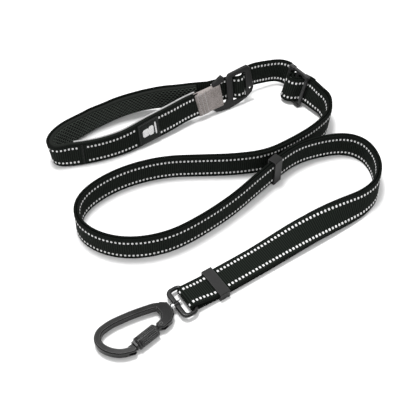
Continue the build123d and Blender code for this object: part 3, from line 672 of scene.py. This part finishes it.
def make_tab():
    """The sewn grey tab and its lines of stitching."""
    strip = tab_strip()
    mesh = loft("tab_cloth", strip, tab_section(), tab_relief(strip))
    tab = new_piece("tab_cloth", mesh)
    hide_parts("tab_cover", "tab_seam")
    bm = bmesh.new()
    out = strip.rows[0][2]
    front = out * (TAB_THICK / 2 - 0.00035)

    def place(f, across):
        middle, rib, _ = strip.at(f * strip.length)
        return middle + rib * across * TAB_WIDTH + front

    zigzag = [place(0.1 if k % 2 else 0.21, -0.46 + 0.92 * k / 17) for k in range(18)]
    add_seam(bm, zigzag, out, *TAB_STITCH)
    for f in (0.085, 0.225, TAB_FLAP - 0.02):
        add_seam(bm, [place(f, -0.47), place(f, 0.47)], out, *TAB_STITCH)
    seams = piece_of("tab_stitching", bm)
    return tab, seams


# ---- materials ----------------------------------------------------------------------------
class Paint:
    """A material under construction, with short names for the nodes that it uses."""

    def __init__(self, name, roughness=0.5, metallic=0.0):
        self.material = bpy.data.materials.new(name)
        self.material.use_nodes = True
        self.tree = self.material.node_tree
        self.shader = self.tree.nodes["Principled BSDF"]
        self.shader.inputs["Roughness"].default_value = roughness
        self.shader.inputs["Metallic"].default_value = metallic

    def node(self, kind, **values):
        made = self.tree.nodes.new("ShaderNode" + kind)
        for key, value in values.items():
            setattr(made, key, value)
        return made

    def link(self, a, b):
        self.tree.links.new(a, b)

    def feed(self, socket, value):
        """Gives a socket a link or a fixed value."""
        if isinstance(value, bpy.types.NodeSocket):
            self.link(value, socket)
        else:
            socket.default_value = value

    def math(self, operation, a, b=0.0):
        made = self.node("Math", operation=operation)
        self.feed(made.inputs[0], a)
        self.feed(made.inputs[1], b)
        return made.outputs[0]

    def coordinates(self, kind="Object"):
        return self.node("TexCoord").outputs[kind]

    def strap_places(self):
        """The distance along a strap and the place across it, in metres."""
        split = self.node("SeparateXYZ")
        self.link(self.coordinates("UV"), split.inputs[0])
        return split.outputs[0], split.outputs[1]

    def noise(self, where, scale, detail=3.0, roughness=0.5):
        made = self.node("TexNoise")
        self.link(where, made.inputs["Vector"])
        made.inputs["Scale"].default_value = scale
        made.inputs["Detail"].default_value = detail
        made.inputs["Roughness"].default_value = roughness
        return made.outputs["Fac"]

    def ramp(self, factor, stops):
        made = self.node("ValToRGB")
        self.link(factor, made.inputs[0])
        ramp = made.color_ramp
        while len(ramp.elements) < len(stops):
            ramp.elements.new(0.5)
        for element, (place, colour) in zip(ramp.elements, stops):
            element.position = place
            element.color = (*colour, 1)
        return made.outputs[0]

    def mix(self, factor, a, b, blend="MIX"):
        made = self.node("Mix", data_type="RGBA", blend_type=blend)
        self.feed(made.inputs[0], factor)
        for socket, value in ((made.inputs[6], a), (made.inputs[7], b)):
            self.feed(socket, value if isinstance(value, bpy.types.NodeSocket) else (*value, 1))
        return made.outputs[2]

    def bump(self, height, strength, distance, under=None):
        made = self.node("Bump")
        made.inputs["Strength"].default_value = strength
        made.inputs["Distance"].default_value = distance
        self.link(height, made.inputs["Height"])
        if under:
            self.link(under, made.inputs["Normal"])
        return made.outputs["Normal"]

    def use(self, **sockets):
        """Feeds the shader's sockets and returns the finished material."""
        for name, value in sockets.items():
            self.feed(self.shader.inputs[name.replace("_", " ")], value)
        return self.material


def grey(value):
    return (value, value, value)


def wave(paint, place, period):
    """0 to 1 and back over each period of a distance in metres."""
    turns = paint.math("MULTIPLY", place, 2 * math.pi / period)
    return paint.math("ADD", paint.math("MULTIPLY", paint.math("SINE", turns), 0.5), 0.5)


RIB_PITCH = 0.0019          # of the weave, along the strap
BUNDLE_PITCH = 0.0013       # and across it
SELVEDGE_FROM = 0.0112      # from the strap's middle to its thicker edges
WEB_LOW = (0.0013, 0.0019, 0.0015)
WEB_HIGH = (0.0165, 0.0205, 0.017)
WEB_EDGE = (0.0038, 0.0048, 0.004)
WEB_DUST = (0.0085, 0.0105, 0.009)


def webbing_paint():
    """Plain-woven nylon: ribs across the strap, bundles along it and thicker edges."""
    p = Paint("webbing", 0.85)
    along, across = p.strap_places()
    ribs = wave(p, along, RIB_PITCH)
    bundles = wave(p, across, BUNDLE_PITCH)
    shifted = wave(p, p.math("ADD", along, p.math("MULTIPLY", bundles, 0.0006)), RIB_PITCH)
    weave = p.math("ADD", p.math("MULTIPLY", ribs, 0.5), p.math("MULTIPLY", shifted, 0.5))
    where = p.coordinates("Object")
    cloud = p.noise(where, 110, 4)
    fuzz = p.noise(where, 1500, 2)
    dark = p.ramp(weave, [(0.0, WEB_LOW), (1.0, WEB_HIGH)])
    edge = p.math("GREATER_THAN", p.math("ABSOLUTE", across), SELVEDGE_FROM)
    dark = p.mix(edge, dark, WEB_EDGE)
    colour = p.mix(p.math("MULTIPLY", cloud, 0.4), dark, WEB_DUST)
    height = p.math("ADD", weave, p.math("MULTIPLY", fuzz, 0.3))
    p.shader.inputs["Specular IOR Level"].default_value = 0.05
    return p.use(Base_Color=colour, Normal=p.bump(height, 1.0, 0.00045))


def stitch_paint():
    """Pale reflective thread."""
    p = Paint("reflective_thread", 0.5)
    where = p.coordinates("Object")
    tone = p.ramp(p.noise(where, 600, 2), [(0.3, grey(0.5)), (0.7, grey(0.74))])
    p.shader.inputs["Specular IOR Level"].default_value = 0.3
    return p.use(Base_Color=tone, Normal=p.bump(p.noise(where, 3000, 1), 0.4, 0.0001))


def thread_paint(name, value):
    """Sewing thread around a grey of the given value."""
    p = Paint(name, 0.7)
    where = p.coordinates("Object")
    tone = p.ramp(p.noise(where, 1200, 2), [(0.3, grey(value * 0.75)), (0.7, grey(value * 1.25))])
    p.shader.inputs["Specular IOR Level"].default_value = 0.2
    return p.use(Base_Color=tone, Normal=p.bump(p.noise(where, 3000, 1), 0.4, 0.0001))


HOLE_PITCH = 0.0037         # from one opening of the mesh to the next, along the handle
HOLE_ROW = 0.0022           # and from one row of them to the next
HOLES_TO = 0.0106           # from the middle to the plain rim


def mesh_paint():
    """Knitted air mesh: a lattice of openings between raised cords, the openings painted near
    black as painted shade.
    """
    p = Paint("air_mesh", 0.9)
    along, across = p.strap_places()
    row = p.math("ROUND", p.math("DIVIDE", across, HOLE_ROW))
    odd = p.math("MULTIPLY", p.math("MODULO", p.math("ABSOLUTE", row), 2.0), HOLE_PITCH / 2)
    slide = p.math("ADD", along, odd)
    dx = p.math("SUBTRACT", p.math("FRACT", p.math("DIVIDE", slide, HOLE_PITCH)), 0.5)
    dy = p.math("SUBTRACT", p.math("DIVIDE", across, HOLE_ROW), row)
    gap = p.math("ADD", p.math("ABSOLUTE", dx), p.math("MULTIPLY", p.math("ABSOLUTE", dy), 0.75))
    hole = p.ramp(gap, [(0.42, (0, 0, 0)), (0.54, (1, 1, 1))])
    inside = p.math("LESS_THAN", p.math("ABSOLUTE", across), HOLES_TO)
    open_part = p.mix(inside, (1, 1, 1), hole)
    fuzz = p.noise(p.coordinates("Object"), 1300, 3)
    cloth = p.ramp(fuzz, [(0.3, (0.04, 0.049, 0.041)), (0.75, (0.1, 0.117, 0.102))])
    rim = p.mix(inside, (0.009, 0.0105, 0.009), cloth)
    # The openings get a near-black colour: painted shade inside the mesh's holes.
    colour = p.mix(open_part, (0.0015, 0.0018, 0.0016), rim)
    height = p.math("ADD", open_part, p.math("MULTIPLY", fuzz, 0.25))
    p.shader.inputs["Specular IOR Level"].default_value = 0.12
    return p.use(Base_Color=colour, Normal=p.bump(height, 0.9, 0.0006))


def cloth_paint(name, low, high, scale=900, speck=0.0):
    """Fine cloth between two colours, with pale flecks of strength speck."""
    p = Paint(name, 0.9)
    where = p.coordinates("Object")
    fine = p.noise(where, scale, 4, 0.6)
    broad = p.noise(where, 60, 3)
    blend = p.math("ADD", p.math("MULTIPLY", fine, 0.75), p.math("MULTIPLY", broad, 0.25))
    colour = p.ramp(blend, [(0.36, low), (0.62, high)])
    if speck:
        flecks = p.math("GREATER_THAN", p.noise(where, 1500, 1), 0.6)
        colour = p.mix(p.math("MULTIPLY", flecks, speck), colour, tuple(1.7 * c for c in high))
    p.shader.inputs["Specular IOR Level"].default_value = 0.15
    return p.use(Base_Color=colour, Normal=p.bump(fine, 0.7, 0.0004))


def metal_paint(name, low, high, roughness, edge_tone, shine=0.5, metallic=0.0):
    """Coated metal with fine grain and smudges, lighter along its edges: worn paint and a painted
    highlight.
    """
    p = Paint(name, roughness, metallic)
    where = p.coordinates("Object")
    smudge = p.noise(where, 70, 4)
    fine = p.noise(where, 2200, 2)
    colour = p.ramp(smudge, [(0.3, grey(low)), (0.7, grey(high))])
    rounded = p.node("Bevel", samples=6)
    rounded.inputs["Radius"].default_value = 0.00045
    facing = p.node("VectorMath", operation="DOT_PRODUCT")
    p.link(rounded.outputs["Normal"], facing.inputs[0])
    p.link(p.node("NewGeometry").outputs["Normal"], facing.inputs[1])
    # Edge mask for the lighter edge tone: partly worn paint, partly a painted highlight along the
    # bevels.
    edge = p.ramp(facing.outputs["Value"], [(0.93, (1, 1, 1)), (0.99, (0, 0, 0))])
    scuffs = p.ramp(p.noise(where, 260, 3), [(0.35, (0, 0, 0)), (0.6, (1, 1, 1))])
    worn_and_highlit = p.math("MULTIPLY", edge, p.math("ADD", 0.6, p.math("MULTIPLY", scuffs, 0.4)))
    colour = p.mix(worn_and_highlit, colour, grey(edge_tone))
    rough = p.math("ADD", roughness - 0.05, p.math("MULTIPLY", smudge, 0.1))
    p.shader.inputs["Specular IOR Level"].default_value = shine
    return p.use(Base_Color=colour, Roughness=rough, Normal=p.bump(fine, 0.1, 0.00008))


def plastic_paint(name, value, roughness):
    """Moulded plastic with a slight grain."""
    p = Paint(name, roughness)
    where = p.coordinates("Object")
    grain = p.noise(where, 1600, 2)
    colour = p.ramp(p.noise(where, 70, 3), [(0.3, grey(value * 0.8)), (0.7, grey(value * 1.3))])
    p.shader.inputs["Specular IOR Level"].default_value = 0.35
    return p.use(Base_Color=colour, Normal=p.bump(grain, 0.25, 0.0001))


def floor_paint():
    """A plain, nearly white sweep."""
    p = Paint("floor", 0.9)
    p.shader.inputs["Specular IOR Level"].default_value = 0.05
    tone = p.ramp(p.noise(p.coordinates("Object"), 3, 2), [(0.3, grey(0.87)), (0.7, grey(0.88))])
    return p.use(Base_Color=tone)


def coat(piece, material):
    piece.data.materials.clear()
    piece.data.materials.append(material)


# ---- floor and light ----------------------------------------------------------------------
FLOOR_HALF = 3.0            # half the floor's side
WORLD_LIGHT = 0.8
KEY_LIGHT = ((-0.14, 0.26, 1.25), (0.34, 0.34), 17)     # place, size and watts
FRONT_LIGHT = ((0.35, -0.9, 0.9), (0.9, 0.5), 2)


def make_stage():
    mesh = bpy.data.meshes.new("floor")
    size = FLOOR_HALF
    corners = [(-size, -size, 0), (size, -size, 0), (size, size, 0), (-size, size, 0)]
    mesh.from_pydata(corners, [], [(0, 1, 2, 3)])
    floor = bpy.data.objects.new("floor", mesh)
    bpy.context.scene.collection.objects.link(floor)
    coat(floor, floor_paint())


def add_light(name, place, size, power):
    """A rectangular lamp of a size in metres and a power in watts, aimed at the origin."""
    data = bpy.data.lights.new(name, "AREA")
    data.shape = "RECTANGLE"
    data.size, data.size_y = size
    data.energy = power
    light = bpy.data.objects.new(name, data)
    bpy.context.scene.collection.objects.link(light)
    light.location = place
    light.rotation_euler = (-Vector(place)).to_track_quat("-Z", "Y").to_euler()


def make_lights():
    world = bpy.data.worlds.new("studio")
    world.use_nodes = True
    background = world.node_tree.nodes["Background"]
    background.inputs[0].default_value = (1, 1, 1, 1)
    background.inputs[1].default_value = WORLD_LIGHT
    bpy.context.scene.world = world
    add_light("key", *KEY_LIGHT)
    add_light("front", *FRONT_LIGHT)
    bpy.context.scene.view_settings.view_transform = "Standard"


def main():
    make_camera()
    (running, back), stitches = make_lead()
    webbing, handle_stitches, pad, handle = make_handle()
    piping = make_piping()
    tack = make_tacks(handle)
    patch, outline, emblem = make_label(handle)
    tab, tab_seams = make_tab()
    web = webbing_paint()
    for piece in (running, back, webbing):
        coat(piece, web)
    thread = stitch_paint()
    for piece in stitches + [handle_stitches]:
        coat(piece, thread)
    coat(tack, thread_paint("black_thread", 0.02))
    coat(pad, mesh_paint())
    coat(piping, cloth_paint("piping", grey(0.26), grey(0.5)))
    coat(patch, cloth_paint("label", (0.008, 0.0095, 0.0085), (0.024, 0.027, 0.025), 1400))
    coat(outline, thread_paint("label_thread", 0.05))
    coat(emblem, thread_paint("emblem_thread", 0.72))
    coat(tab, cloth_paint("tab_cloth", (0.15, 0.13, 0.122), (0.3, 0.272, 0.262), 1100, 0.35))
    coat(tab_seams, thread_paint("tab_thread", 0.42))
    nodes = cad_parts
    coat(nodes["release_buckle"], metal_paint("buckle_metal", 0.01, 0.016, 0.4, 0.06, 0.15))
    coat(nodes["slider_frame"], plastic_paint("slider_plastic", 0.012, 0.38))
    keeper = metal_paint("keeper_metal", 0.011, 0.016, 0.4, 0.08, 0.12)
    coat(nodes["near_keeper"], keeper)
    coat(nodes["far_keeper"], keeper)
    coat(nodes["swivel_eye"], metal_paint("eye_metal", 0.007, 0.012, 0.25, 0.05, 0.2))
    steel = metal_paint("bright_steel", 0.5, 0.62, 0.25, 0.8, 0.5, 1.0)
    for name in ("swivel_pin", "swivel_washer", "gate_spring", "sleeve_spring"):
        coat(nodes[name], steel)
    clip = metal_paint("clip_metal", 0.007, 0.012, 0.22, 0.16, 0.12)
    for name in ("carabiner_body", "gate", "lock_sleeve", "gate_pivot_pin", "sleeve_guide_pin"):
        coat(nodes[name], clip)
    coat(nodes["gate_stop_block"], plastic_paint("stop_plastic", 0.01, 0.4))
    make_stage()
    make_lights()


main()
